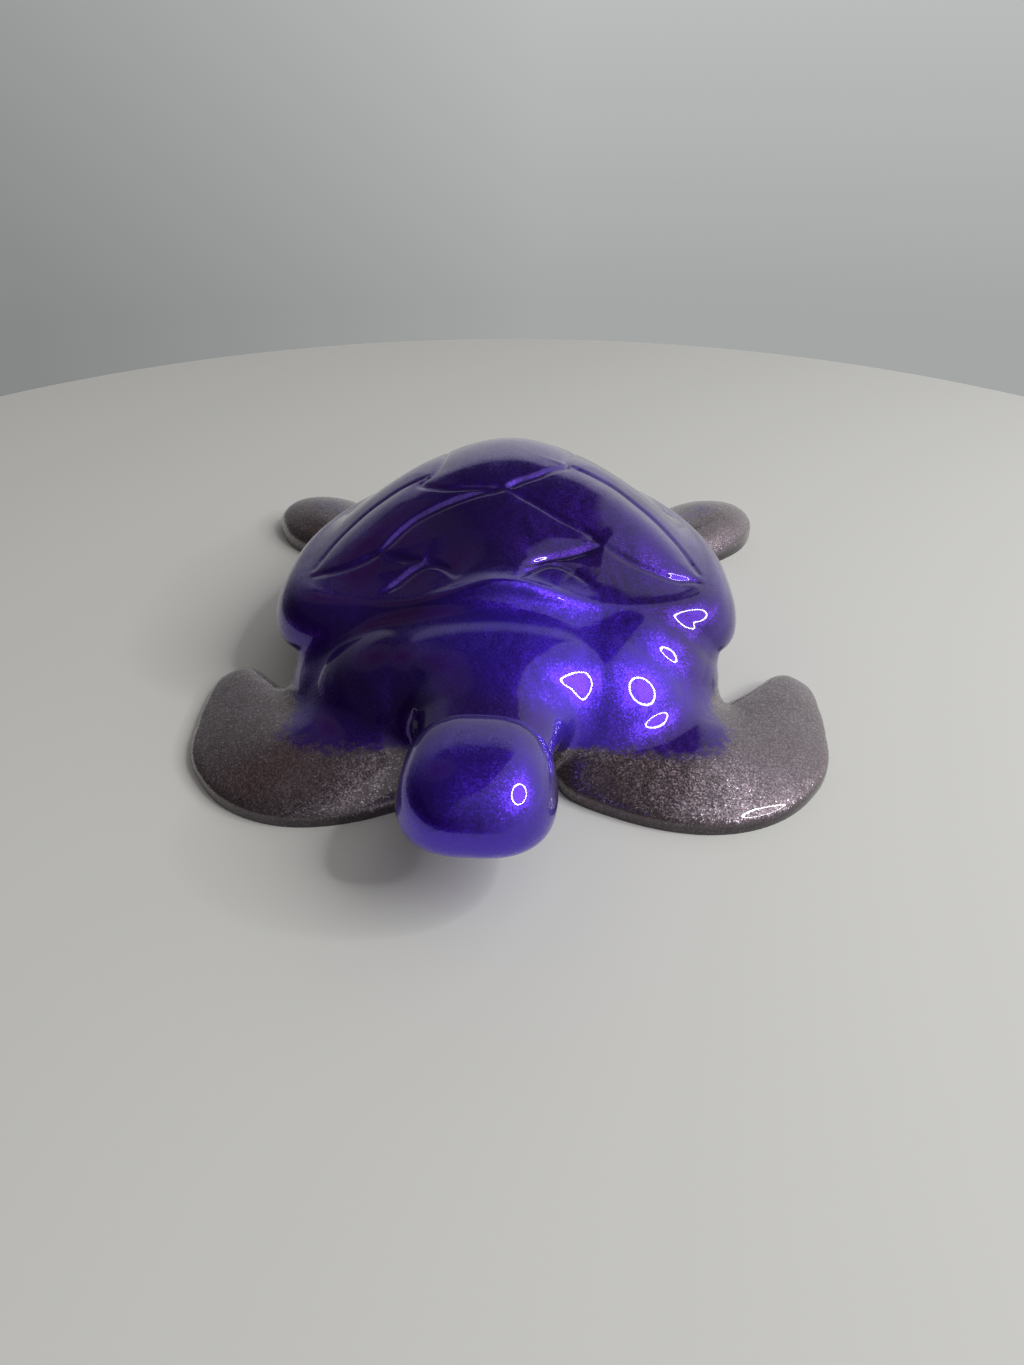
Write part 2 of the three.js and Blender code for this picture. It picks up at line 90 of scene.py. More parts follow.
# Carapace
SEAT_LEVEL = SHELL_LOW[2]
CROWN_LEVEL = SHELL_HIGH[2]
SHELL_FRONT = 21.5
SHELL_TAPER = 8.0
FRONT_SQUARENESS = 4.0
MARGIN_WIDTH = 5.6
CROWN_RISE = 12.6
CROWN_SET_BACK = 9.8
CROWN_SPREAD = 0.07
MARGIN_RISE = 7.6
RIM_TUCK = 2.6
MARGIN_LEVEL = CROWN_LEVEL - CROWN_RISE
RIM_LEVEL = MARGIN_LEVEL - MARGIN_RISE
ARCH_RISE = 7.0
ARCH_HALF_WIDTH = 10.5
ARCH_DEPTH = 2.2
DOME_END = 0.55
BAND_END = 0.75
TUCK_END = 0.9

# Torso, neck and head
TORSO_HEIGHT = 15.0
TORSO_SQUARENESS = 2.8
TORSO_BACK_SQUARENESS = 2.6
TORSO_FRONT_SQUARENESS = 4.5
SHOULDER_PLACE = (14.0, -18.8, 0.0)
SHOULDER_SIZE = (32.0, 30.0, 32.0)
BRIDGE_PLACE = (18.0, -12.0, 4.0)
BRIDGE_SIZE = (30.0, 29.0, 27.0)
NECK_BACK_Y = NECK_HIGH[1]
NECK_FRONT_Y = NECK_LOW[1]
NECK_SINK = 6.3
TURN_AHEAD = 4.0
HEAD_TURN = math.radians(2)
HEAD_WIDTH = 19.8
HEAD_LENGTH = 19.0
HEAD_HEIGHT = 12.0
HEAD_MIDDLE = 13.8
HEAD_SQUARENESS = 3.0
SNOUT_TAPER = 0.2
BROW_TAPER = 0.28
BROW_FALL = 1.6

# The neck from front to back: share of the way, place along, width, top and foot
NECK = [
    (0.0, NECK_FRONT_Y - NECK_SINK, 0.0, 11.0, 11.0),
    (0.06, NECK_FRONT_Y - NECK_SINK, 16.0, 13.2, 7.2),
    (0.3, -38.8, 17.6, 14.4, 5.9),
    (0.45, -33.8, 20.2, 15.5, 2.5),
    (0.58, -29.6, 26.0, 16.6, -1.0),
    (0.7, -26.2, 36.0, 17.4, -4.0),
    (0.82, -22.8, 43.0, 18.0, -6.0),
    (0.96, -13.0, 48.0, 18.6, -6.0),
    (1.0, -12.0, 0.0, 13.0, 13.0),
]

# Places of the flippers' blades from root to tip: across, along, half width and height
EDGE_WALL = 1.6
UNDERCUT = -2.0
FRONT_FLIPPER = [
    (7.9, -25.0, 8.9, 9.5),
    (18.9, -28.9, 11.9, 8.0),
    (29.1, -31.0, 12.4, 6.9),
    (36.5, -27.1, 10.7, 5.2),
    (41.1, -19.9, 7.9, 4.4),
    (44.4, -13.0, 4.9, 3.7),
    (46.3, -6.9, 2.4, 2.6),
]
REAR_FLIPPER = [
    (19.8, 30.9, 7.1, 6.6),
    (27.8, 39.1, 8.4, 6.6),
    (35.4, 46.2, 9.8, 6.6),
    (40.6, 51.5, 9.4, 6.6),
    (44.6, 55.3, 7.2, 5.8),
    (47.6, 58.4, 4.0, 4.2),
]
TAIL_HALF_WIDTH = 3.0
TAIL_HEIGHT = 4.2

# How far out the front flippers reach on each side, as a share, where 1 is the turtle's left
FRONT_REACH = {1: 0.985, -1: 0.93}
FRONT_CREST = 0.3
FRONT_FULLNESS = 0.75
EDGE_ROUNDNESS = 0.35

# The most that each pass of fillets fills, and how much more in front on the turtle's left
FILLETS = [(4.0, 2.0), (0.6, 4.0)]
SMOOTHING_BEFORE = 8
SMOOTHING_AFTER = 10

# How much larger than its form a cutter is, the neck's room, and the least points of a real piece
SHELL_GROWTH = 0.6
TORSO_GROWTH = 0.35
NECK_SPACE_HALF_WIDTH = 11
SMALLEST_ISLAND = 400

# Grooves between the scutes: shares of the dome's half width and of its reach in front of the
# crown, which is negative, or behind it
GROOVES = [
    [(0, -0.39), (0.15, -0.5), (0.26, -0.58), (0.38, -0.64), (0.47, -0.71)],
    [(0, -0.39), (-0.14, -0.43), (-0.35, -0.53), (-0.47, -0.6), (-0.6, -0.73)],
    [(0.47, -0.71), (0.32, -0.79), (0.2, -0.84), (0.11, -0.9)],
    [(-0.6, -0.73), (-0.51, -0.79), (-0.42, -0.82)],
    [(0, -0.39), (0.06, -0.33), (0.18, -0.23), (0.29, -0.01), (0.3, 0.09), (0.39, 0.39)],
    [(0, -0.39), (-0.14, -0.38), (-0.32, -0.35), (-0.43, -0.19), (-0.36, 0.07), (-0.39, 0.39)],
    [(0.29, 0.03), (0.43, 0.03), (0.58, 0.02), (0.75, -0.05), (0.89, -0.25), (0.96, -0.5)],
    [(-0.39, -0.04), (-0.49, 0), (-0.62, 0), (-0.75, -0.06), (-0.89, -0.25), (-0.96, -0.5)],
    [(0.47, -0.71), (0.6, -0.76), (0.69, -0.77), (0.82, -0.75), (0.94, -0.65)],
    [(-0.6, -0.73), (-0.7, -0.74), (-0.81, -0.72), (-0.94, -0.63)],
    [(0.06, -1), (0.13, -0.92), (0.22, -0.86), (0.31, -0.87), (0.42, -0.94)],
    [(-0.57, -0.97), (-0.5, -0.92), (-0.39, -0.85), (-0.3, -0.87), (-0.23, -0.94)],
    [(-0.39, 0.39), (-0.19, 0.45), (0, 0.47), (0.19, 0.45), (0.39, 0.39)],
    [(0.39, 0.39), (0.62, 0.38), (0.81, 0.36), (0.92, 0.32)],
    [(-0.39, 0.39), (-0.62, 0.38), (-0.81, 0.36), (-0.92, 0.32)],
    [(0.39, 0.39), (0.32, 0.55), (0.28, 0.71)],
    [(-0.39, 0.39), (-0.32, 0.55), (-0.28, 0.71)],
    [(-0.28, 0.71), (-0.13, 0.76), (0, 0.77), (0.13, 0.76), (0.28, 0.71)],
    [(0.28, 0.71), (0.45, 0.76), (0.58, 0.77)],
    [(-0.28, 0.71), (-0.45, 0.76), (-0.58, 0.77)],
]
GROOVE_SPACING = 0.25
GROOVE_FLOOR = RIM_LEVEL + 2
GROOVE_END_DEPTH = 0.55
GROOVE_END_LENGTH = 2.5

CASTING = "casting"
OUTER = "outer"
INNER = "inner"


def length(name, description, millimetres):
    """A property for a length that a user may change."""
    return bpy.props.FloatProperty(
        name=name,
        description=description,
        default=millimetres * MM,
        min=0.0,
        unit="LENGTH",
        subtype="DISTANCE",
        precision=5,
    )


def colour(name, description, value):
    """A property for a colour that a user may change."""
    return bpy.props.FloatVectorProperty(
        name=name,
        description=description,
        default=value,
        size=3,
        min=0.0,
        max=1.0,
        subtype="COLOR",
    )


def factor(name, description, value):
    """A property for a share between 0 and 1."""
    return bpy.props.FloatProperty(
        name=name, description=description, default=value, min=0.0, max=1.0, subtype="FACTOR"
    )


class TurtleForm(bpy.types.PropertyGroup):
    """Sizes of the casting's soft details."""

    cell: length("Mesh cell", "Size of the mesh's cells on the casting", 0.35)
    groove_depth: length("Groove depth", "Depth of the grooves between scutes", 0.38)
    groove_width: length("Groove width", "Half width of a groove", 0.62)
    pillow_depth: length("Scute swell", "How far the scutes swell above their edges", 0.28)
    pillow_width: length("Scute swell width", "Width over which a scute's edge falls", 3.2)
    fillet_steps: bpy.props.IntProperty(
        name="Fillet steps",
        description="How softly the forms flow into each other",
        default=260,
        min=0,
    )


class TurtleResin(bpy.types.PropertyGroup):
    """Colours of the two pours."""

    violet: colour("Violet", "Pearl of the upper pour", (0.035, 0.005, 0.2))
    violet_glow: colour("Violet glow", "Dense pearl of the upper pour", (0.075, 0.02, 0.42))
    # Painted sheen: a bright violet painted where the lamp's sheen falls by the left shoulder, and
    # as a glow in the head
    violet_painted_sheen: colour("Dense violet", "Thickest pearl of the upper pour", (0.085, 0.02, 0.9))
    violet_deep: colour("Deep violet", "Clearer resin of the upper pour", (0.02, 0.002, 0.1))
    mauve: colour("Mauve", "Pearl of the lower pour", (0.16, 0.125, 0.15))
    mauve_deep: colour("Deep mauve", "Clearer resin of the lower pour", (0.12, 0.08, 0.082))
    glitter: colour("Glitter", "Brightest flakes of the lower pour", (0.7, 0.66, 0.8))
    gloss: factor("Gloss", "Strength of the clear surface", 1.0)


class TurtleStage(bpy.types.PropertyGroup):
    """Table, light and camera."""

    table: colour("Table", "Colour of the pale table", (0.66, 0.66, 0.635))
    backdrop: colour("Backdrop", "Colour behind the table", (0.5, 0.51, 0.505))
    table_light: factor("Table light", "Extra soft light that only matt surfaces take", 0.1)
    table_radius: length("Table radius", "Radius of the round table", 203.0)
    lamp_radius: length("Lamp radius", "Radius of the ring lamp", 120.0)
    lamp_distance: length("Lamp distance", "Distance of the ring lamp", 500.0)


def signed_power(base, exponent):
    """A power that keeps the sign of its base."""
    return np.sign(base) * np.abs(base) ** exponent


def taper(behind):
    """How much narrower the carapace is at a distance behind the crown."""
    return 1 - SHELL_TAPER / SHELL_HALF_WIDTH * (np.maximum(0, behind) / SHELL_BACK) ** 2


def rim_point(bearing, inset):
    """Plan outline of the carapace from the crown, drawn in by an inset."""
    front = np.sin(bearing) < 0
    squareness = np.where(front, FRONT_SQUARENESS, 2.0)
    across = np.abs(np.cos(bearing)) / (SHELL_HALF_WIDTH - inset)
    along = np.abs(np.sin(bearing)) / (np.where(front, SHELL_FRONT, SHELL_BACK) - inset)
    radius = (across**squareness + along**squareness) ** (-1 / squareness)
    y = radius * np.sin(bearing)
    return radius * np.cos(bearing) * taper(y), y


def neck_arch(edge_x, behind):
    """How strongly the arch over the neck acts under an edge point."""
    return np.where(behind < 0, np.exp(-((edge_x / ARCH_HALF_WIDTH) ** 2)), 0)


def dome_lift(share):
    """Share of the neck arch's rise that the dome has."""
    return share**4 / 2


def dome_rise(share):
    """Share of the crown's rise that the dome has at a share of the way to its edge."""
    return np.cos(np.minimum(share, 1) * math.pi / 2)


def dome_point(across, along):
    """A point on the dome from its shares across and along."""
    squareness = np.where(along < 0, FRONT_SQUARENESS, 2.0)
    share = (np.abs(across) ** squareness + np.abs(along) ** squareness) ** (1 / squareness)
    share = np.minimum(1, share)
    reach = np.where(along < 0, SHELL_FRONT, SHELL_BACK) - MARGIN_WIDTH
    behind = along * reach
    x = across * (SHELL_HALF_WIDTH - MARGIN_WIDTH) * taper(behind / share)
    arch = ARCH_RISE * neck_arch(x / share, behind) * dome_lift(share)
    rise = dome_rise(share)
    x = x * (1 + CROWN_SPREAD * rise)
    y = CROWN_Y + behind * (1 + CROWN_SPREAD * rise) + CROWN_SET_BACK * rise
    return np.stack([x, y, MARGIN_LEVEL + CROWN_RISE * rise + arch], axis=-1)


def shell_points(bearing, down, growth):
    """Points of the carapace's form: dome, marginal band, tucked rim and flat seat."""
    dome = down <= DOME_END
    band = (down > DOME_END) & (down <= BAND_END)
    tuck = (down > BAND_END) & (down <= TUCK_END)
    zones = [dome, band, tuck]
    dome_share = down / DOME_END
    band_turn = (down - DOME_END) / (BAND_END - DOME_END) * math.pi / 2
    tuck_turn = (down - BAND_END) / (TUCK_END - BAND_END) * math.pi / 2
    share = np.select(zones, [dome_share, 1, 1], (1 - down) / (1 - TUCK_END))
    inset = np.select(
        zones,
        [MARGIN_WIDTH, MARGIN_WIDTH * (1 - np.sin(band_turn)), RIM_TUCK * (1 - np.cos(tuck_turn))],
        RIM_TUCK,
    )
    height = np.select(
        zones,
        [
            MARGIN_LEVEL + CROWN_RISE * dome_rise(dome_share),
            RIM_LEVEL + MARGIN_RISE * np.cos(band_turn),
            SEAT_LEVEL + (RIM_LEVEL - SEAT_LEVEL) * (1 - np.sin(tuck_turn)),
        ],
        SEAT_LEVEL,
    )
    lift = np.select(
        zones,
        [dome_lift(dome_share), 0.5 + 0.5 * np.sin(band_turn), 1 - np.sin(tuck_turn)],
        0,
    )
    edge_x, edge_y = rim_point(bearing, inset - growth)
    arch = neck_arch(edge_x, edge_y) * lift
    draw_back = ARCH_DEPTH * arch * np.maximum(0, 2 * lift - 1)
    lean = np.where(dome, dome_rise(dome_share), 0)
    x = edge_x * share * (1 + CROWN_SPREAD * lean)
    y = CROWN_Y + edge_y * share * (1 + CROWN_SPREAD * lean) + CROWN_SET_BACK * lean + draw_back
    z = height + ARCH_RISE * arch + growth * np.sign(BAND_END - down)
    return np.stack([x, y, z], axis=-1)


def block_points(bearing, down, half, squareness):
    """Points of a rounded block about the origin."""
    power = 2 / squareness
    ring = signed_power(np.sin(down * math.pi), power)
    x = half[0] * ring * signed_power(np.cos(bearing), power)
    y = half[1] * ring * signed_power(np.sin(bearing), power)
    z = half[2] * signed_power(np.cos(down * math.pi), power)
    return np.stack([x, y, z], axis=-1)


def torso_points(bearing, down, growth):
    """Points of the torso's form, which goes a little way into the ground."""
    front = np.sin(bearing) < 0
    squareness = np.where(front, TORSO_FRONT_SQUARENESS, TORSO_BACK_SQUARENESS)
    across = np.abs(np.cos(bearing)) / (TORSO_HALF_WIDTH + growth)
    along = np.abs(np.sin(bearing)) / (np.where(front, TORSO_FRONT, TORSO_BACK) + growth)
    power = 2 / TORSO_SQUARENESS
    ring = signed_power(np.sin(down * math.pi), power)
    radius = ring * (across**squareness + along**squareness) ** (-1 / squareness)
    z = (TORSO_HEIGHT + growth) * signed_power(np.cos(down * math.pi), power)
    y = TORSO_Y + radius * np.sin(bearing)
    return np.stack([radius * np.cos(bearing), y, np.maximum(z, UNDERCUT)], axis=-1)


def turned(points):
    """Points turned with the head and neck about the turtle's upright axis."""
    turn = np.array(Matrix.Rotation(-HEAD_TURN, 3, "Z"))
    middle = np.array([0, TORSO_Y - TURN_AHEAD, 0])
    return (points - middle) @ turn.T + middle


def head_points(bearing, down):
    """Points of the blunt head, whose brow is narrower than its cheeks."""
    half = (HEAD_WIDTH / 2, HEAD_LENGTH / 2, HEAD_HEIGHT / 2)
    points = block_points(bearing, down, half, HEAD_SQUARENESS)
    forward = np.maximum(0, -2 * points[:, 1] / HEAD_LENGTH)
    high = (1 + 2 * points[:, 2] / HEAD_HEIGHT) / 2
    points[:, 0] *= (1 - SNOUT_TAPER * forward**2) * (1 - BROW_TAPER * high**2)
    points[:, 2] *= 1 - SNOUT_TAPER * forward**2
    points[:, 2] -= BROW_FALL * forward**2 * high
    points[:, 1] += HEAD_LOW[1] + HEAD_LENGTH / 2
    points[:, 2] += HEAD_MIDDLE
    return turned(points)


def shoulder_points(bearing, down, side):
    """Points of the shoulder on one side, which is 1 for the turtle's left."""
    points = block_points(bearing, down, np.array(SHOULDER_SIZE) / 2, 2.0)
    points += np.array(SHOULDER_PLACE) * (side, 1, 1)
    points[:, 2] = np.maximum(points[:, 2], UNDERCUT)
    return points


def bridge_points(bearing, down):
    """Points of the mound that joins the left shoulder and the rim in one slope."""
    points = block_points(bearing, down, np.array(BRIDGE_SIZE) / 2, 2.0)
    points += np.array(BRIDGE_PLACE)
    points[:, 2] = np.maximum(points[:, 2], UNDERCUT)
    return points


def neck_points(bearing, down):
    """Points of the neck, which widens into the shoulders."""
    shares, *columns = np.array(NECK).T
    y, width, top, foot = (np.interp(down, shares, column) for column in columns)
    x = width / 2 * np.cos(bearing)
    z = (top + foot) / 2 + (top - foot) / 2 * np.sin(bearing)
    return turned(np.stack([x, y, z], axis=-1))


def curve_at(points, share):
    """Places on a smooth curve through points, at shares of its run."""
    points = np.asarray(points, dtype=float)
    ends = [2 * points[:1] - points[1:2], points, 2 * points[-1:] - points[-2:-1]]
    padded = np.concatenate(ends)
    run = np.clip(share, 0, 1) * (len(points) - 1)
    step = np.minimum(run.astype(int), len(points) - 2)
    part = (run - step)[:, None]
    p0, p1, p2, p3 = (padded[step + i] for i in range(4))
    cubic = 3 * (p1 - p2) + p3 - p0
    square = 2 * p0 - 5 * p1 + 4 * p2 - p3
    return p1 + part / 2 * (p2 - p0 + part * (square + part * cubic))


def blade_points(bearing, down, stations, side, crest, fullness):
    """Points of a flat-footed blade with a rounded tip.

    It is domed above an upright edge. The crest is where its ridge runs, from -1 at the leading
    edge to 1 at the other, and a fullness of 1 gives an elliptical section.
    """
    close = 0.1
    start = np.clip(down / close, 0, 1)
    end = np.clip((1 - down) / close, 0, 1)
    full = np.sqrt(1 - (1 - np.minimum(start, end)) ** 2)
    route = curve_at(stations, down)
    step = 0.01
    ahead = curve_at(stations, np.minimum(1, down + step))
    behind = curve_at(stations, np.maximum(0, down - step))
    tangent = (ahead - behind)[:, :2]
    tangent /= np.linalg.norm(tangent, axis=1, keepdims=True)
    across = np.stack([-tangent[:, 1], tangent[:, 0]], axis=-1)
    half = route[:, 2] * full
    height = route[:, 3]
    wall = np.minimum(EDGE_WALL, height / 2)
    top = np.sin(bearing) > 0
    share = np.cos(bearing)
    reach = np.where(top, share, signed_power(share, EDGE_ROUNDNESS))
    ridge = share - crest * (1 - share**2)
    dome = np.maximum(0, 1 - ridge**2) ** (1 / (2 * fullness))
    foot = wall + (UNDERCUT - wall) * np.abs(np.sin(bearing)) ** EDGE_ROUNDNESS
    z = np.where(top, wall + (height - wall) * dome, foot) * np.sqrt(full)
    plan = route[:, :2] + across * (half * reach)[:, None]
    return np.stack([side * plan[:, 0], plan[:, 1], z], axis=-1)


def shaped_sphere(around, down, place, mirrored=False):
    """A closed mesh from a sphere whose points are placed by bearing and share of the way down."""
    form = bmesh.new()
    bmesh.ops.create_uvsphere(form, u_segments=around, v_segments=down, radius=1.0)
    if mirrored:
        bmesh.ops.reverse_faces(form, faces=form.faces)
    mesh = finished(form, "form")
    unit = coordinates(mesh)
    bearing = np.arctan2(unit[:, 1], unit[:, 0])
    share = np.arccos(np.clip(unit[:, 2], -1, 1)) / math.pi
    set_coordinates(mesh, place(bearing, share) * MM)
    return mesh


def box_mesh(low, high):
    """A closed box between two corners."""
    form = bmesh.new()
    bmesh.ops.create_cube(form, size=1.0)
    low, high = Vector(low) * MM, Vector(high) * MM
    bmesh.ops.scale(form, vec=high - low, verts=form.verts)
    bmesh.ops.translate(form, vec=(low + high) / 2, verts=form.verts)
    return finished(form, "box")


def finished(form, name):
    """The mesh of a bmesh, which is freed."""
    mesh = bpy.data.meshes.new(name)
    form.to_mesh(mesh)
    form.free()
    return mesh


def modified(mesh, kind, settings):
    """A new mesh: the given one with a modifier applied."""
    holder = bpy.data.objects.new("holder", mesh)
    bpy.context.scene.collection.objects.link(holder)
    modifier = holder.modifiers.new(kind, kind)
    for name, value in settings.items():
        setattr(modifier, name, value)
    graph = bpy.context.evaluated_depsgraph_get()
    made = bpy.data.meshes.new_from_object(holder.evaluated_get(graph), depsgraph=graph)
    bpy.data.objects.remove(holder)
    return made


def cut(mesh, operation, cutter):
    """A new mesh: the given one joined, cut or limited by a closed cutter."""
    cutter.materials.clear()
    cutter.materials.append(named_material(INNER))
    tool = bpy.data.objects.new("cutter", cutter)
    bpy.context.scene.collection.objects.link(tool)
    settings = {
        "object": tool,
        "operation": operation,
        "solver": "MANIFOLD",
        "material_mode": "TRANSFER",
    }
    made = modified(mesh, "BOOLEAN", settings)
    bpy.data.objects.remove(tool)
    return made


def named_material(name):
    """A material by its name, made where it doesn't exist."""
    return bpy.data.materials.get(name) or bpy.data.materials.new(name)


def coordinates(mesh):
    """The mesh's points as an array."""
    flat = np.empty(3 * len(mesh.vertices), dtype=np.float32)
    mesh.vertices.foreach_get("co", flat)
    return flat.reshape(-1, 3).astype(float)


def set_coordinates(mesh, points):
    """Moves the mesh's points."""
    mesh.vertices.foreach_set("co", points.astype(np.float32).ravel())
    mesh.update()


def point_normals(mesh):
    """The mesh's point normals as an array."""
    flat = np.empty(3 * len(mesh.vertices), dtype=np.float32)
    mesh.vertex_normals.foreach_get("vector", flat)
    return flat.reshape(-1, 3).astype(float)


def smoothed(mesh, steps):
    """The mesh's points after a number of smoothing steps."""
    return coordinates(modified(mesh, "SMOOTH", {"factor": 0.5, "iterations": steps}))


def fill_creases(mesh, steps, most, more):
    """Fills the creases between forms with soft fillets and leaves the round forms as they are.

    The most that a fillet fills rises to that much more in front on the turtle's left.
    """
    normals = point_normals(mesh)
    points = coordinates(mesh)
    outward = np.sum((smoothed(mesh, steps) - points) * normals, axis=1)
    leftward = np.clip(points[:, 0] / (10 * MM) + 0.3, 0, 1)
    forward = np.clip(-points[:, 1] / (8 * MM) - 0.8, 0, 1)
    outward = np.clip(outward, 0, (most + more * (leftward * forward)) * MM)
    set_coordinates(mesh, points + normals * outward[:, None])


def groove_samples():
    """Close points along all the grooves, and how deep each is as a share."""
    samples = []
    depths = []
    for route in GROOVES:
        across, along = np.array(route, dtype=float).T
        knots = dome_point(across, along)
        run = np.linalg.norm(np.diff(knots, axis=0), axis=1).sum()
        count = int(run / GROOVE_SPACING)
        share = np.linspace(0, 1, count)
        plan = curve_at(np.stack([across, along], axis=-1), share)
        samples.append(dome_point(plan[:, 0], plan[:, 1]))
        ends = np.minimum(share, 1 - share) * run
        fade = np.clip(ends / GROOVE_END_LENGTH, 0, 1)
        depths.append(GROOVE_END_DEPTH + (1 - GROOVE_END_DEPTH) * fade)
    return np.concatenate(samples), np.concatenate(depths)


def press_scutes(mesh, form):
    """Presses the grooves between the scutes into the dome, so that the scutes swell a little."""
    samples, depths = groove_samples()
    tree = KDTree(len(samples))
    for index, sample in enumerate(samples):
        tree.insert(sample, index)
    tree.balance()
    points = coordinates(mesh)
    normals = point_normals(mesh)
    near = points[:, 2] > GROOVE_FLOOR * MM
    press = np.zeros(len(points))
    for index in np.nonzero(near)[0]:
        _, sample, distance = tree.find(points[index] / MM)
        groove = math.exp(-((distance * MM / form.groove_width) ** 2)) * form.groove_depth
        pillow = math.exp(-((distance * MM / form.pillow_width) ** 2)) * form.pillow_depth
        press[index] = (groove + pillow) * depths[sample]
    set_coordinates(mesh, points - normals * press[:, None])


def keep_normals(mesh):
    """Stores the point normals, which the cut pieces take over."""
    stored = mesh.attributes.new("smooth_normal", "FLOAT_VECTOR", "POINT")
    stored.data.foreach_set("vector", point_normals(mesh).astype(np.float32).ravel())


def large_islands(mesh):
    """Deletes loose bits with fewer points than a real piece has."""
    form = bmesh.new()
    form.from_mesh(mesh)
    left = set(form.verts)
    doomed = []
    while left:
        island = {left.pop()}
        edge = list(island)
        while edge:
            vertex = edge.pop()
            for link in vertex.link_edges:
                other = link.other_vert(vertex)
                if other in left:
                    left.remove(other)
                    island.add(other)
                    edge.append(other)
        if len(island) < SMALLEST_ISLAND:
            doomed.extend(island)
    print("islands removed:", len(doomed), "vertices")
    bmesh.ops.delete(form, geom=doomed, context="VERTS")
    form.to_mesh(mesh)
    form.free()


def smooth_shading(mesh, tree, source):
    """Gives a cut piece the normals of the whole casting, so that no seam shows."""
    count = len(mesh.vertices)
    flat = np.empty(3 * count, dtype=np.float32)
    mesh.attributes["smooth_normal"].data.foreach_get("vector", flat)
    normals = flat.reshape(-1, 3).astype(float)
    missing = np.linalg.norm(normals, axis=1) < 0.5
    points = coordinates(mesh)
    for index in np.nonzero(missing)[0]:
        place, _, face, _ = tree.find_nearest(Vector(points[index]))
        corners = source["faces"][face]
        weights = 1 / (np.linalg.norm(source["points"][corners] - np.array(place), axis=1) + 1e-7)
        normals[index] = weights @ source["normals"][corners]
    normals /= np.maximum(np.linalg.norm(normals, axis=1, keepdims=True), 1e-9)
    corner_vertex = np.empty(len(mesh.loops), dtype=np.int32)
    mesh.loops.foreach_get("vertex_index", corner_vertex)
    outer = [material.name == OUTER for material in mesh.materials]
    corner_normals = normals[corner_vertex]
    for polygon in mesh.polygons:
        if not outer[polygon.material_index]:
            first = polygon.loop_start
            corner_normals[first : first + polygon.loop_total] = polygon.normal
    mesh.polygons.foreach_set("use_smooth", [True] * len(mesh.polygons))
    mesh.normals_split_custom_set(corner_normals.tolist())
    mesh.attributes.remove(mesh.attributes["smooth_normal"])


@lru_cache
def casting_source():
    """The whole casting, with a search tree over it and the normals of its points."""
    mesh = bpy.data.meshes[CASTING]
    faces = [list(polygon.vertices) for polygon in mesh.polygons]
    points = coordinates(mesh)
    tree = BVHTree.FromPolygons(points.tolist(), faces)
    return tree, {"faces": faces, "points": points, "normals": point_normals(mesh)}


def cast_piece(name, steps, slot, *nodes):
    """Cuts a piece from the casting, finishes it and lets it stand for CAD nodes."""
    mesh = bpy.data.meshes[CASTING]
    for operation, cutter in steps:
        mesh = cut(mesh, operation, cutter)
    large_islands(mesh)
    smooth_shading(mesh, *casting_source())
    mesh.materials.clear()
    mesh.materials.append(resin(slot))
    mesh.polygons.foreach_set("material_index", [0] * len(mesh.polygons))
    mesh.name = name
    piece = bpy.data.objects.new(name, mesh)
    bpy.context.scene.collection.objects.link(piece)
    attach(piece, "root")
    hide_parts(*nodes)
    if not len(mesh.polygons):
        raise RuntimeError(f"{name} came out empty")
    print(name, len(mesh.polygons), "faces")


class Wire:
    """A socket in a node tree, with arithmetic that adds Math nodes."""

    def __init__(self, tree, socket):
        self.tree = tree
        self.socket = socket

    def math(self, operation, first, second=0.0, clamp=False):
        """The result of one Math node."""
        settings = {"operation": operation, "use_clamp": clamp}
        return self.tree.node("ShaderNodeMath", settings, {0: first, 1: second})

    def __add__(self, other):
        return self.math("ADD", self, other)

    __radd__ = __add__

    def __sub__(self, other):
        return self.math("SUBTRACT", self, other)

    def __rsub__(self, other):
        return self.math("SUBTRACT", other, self)

    def __mul__(self, other):
        return self.math("MULTIPLY", self, other)

    __rmul__ = __mul__

    def __truediv__(self, other):
        return self.math("DIVIDE", self, other)

    def __pow__(self, other):
        return self.math("POWER", self, other)

    def largest(self, other):
        """The larger of this and another value."""
        return self.math("MAXIMUM", self, other)

    def clamped(self):
        """This value, kept between 0 and 1."""
        return self.math("ADD", self, 0.0, clamp=True)


